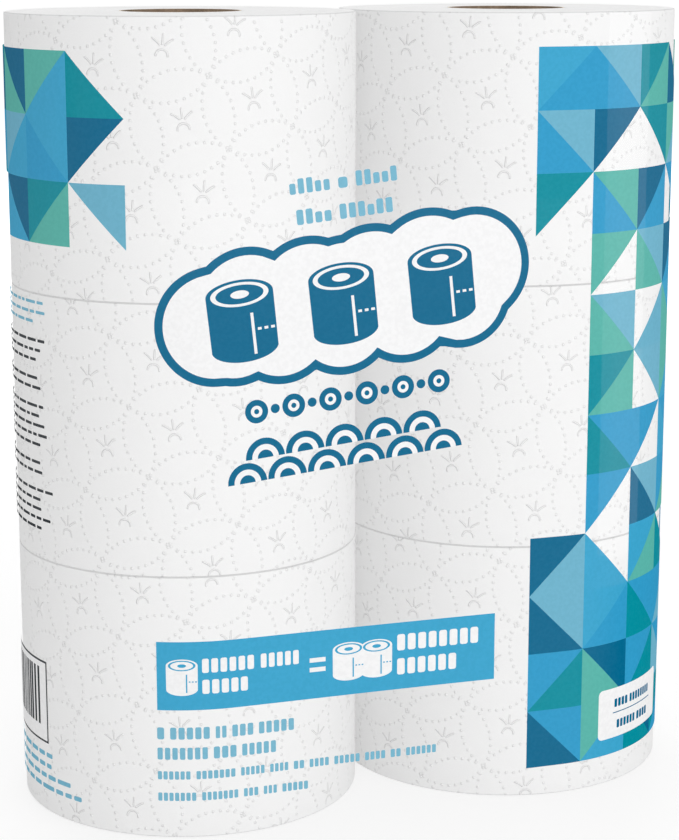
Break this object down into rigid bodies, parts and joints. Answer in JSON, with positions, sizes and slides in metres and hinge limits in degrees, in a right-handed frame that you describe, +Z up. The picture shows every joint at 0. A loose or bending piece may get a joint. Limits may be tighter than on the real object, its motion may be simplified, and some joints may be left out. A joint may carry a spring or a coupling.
{
  "type": "toilet paper roll pack",
  "caption": "Bundle of toilet tissue rolls standing on end, stacked and side by side, held in a clear printed film sleeve with open ends.",
  "frame": {"origin": "middle of the pack's underside, on the surface it stands on", "axes": "+Z up along the rolls' axes, +X to the right column as seen from the front, -Y out of the printed front"},
  "size_m": [0.2616, 0.1316, 0.2999],
  "materials": {
    "tissue": "soft, matt, embossed",
    "core_board": "matt grey-brown board",
    "film": "clear glossy film with blue and green print"
  },
  "bodies": {
    "root": {"roll_left_bottom": "tissue", "roll_left_middle": "tissue", "roll_left_top": "tissue", "roll_right_bottom": "tissue", "roll_right_middle": "tissue", "roll_right_top": "tissue", "core_left_bottom": "core_board", "core_left_middle": "core_board", "core_left_top": "core_board", "core_right_bottom": "core_board", "core_right_middle": "core_board", "core_right_top": "core_board", "film_wrap": "film"}
  },
  "joints": []
}
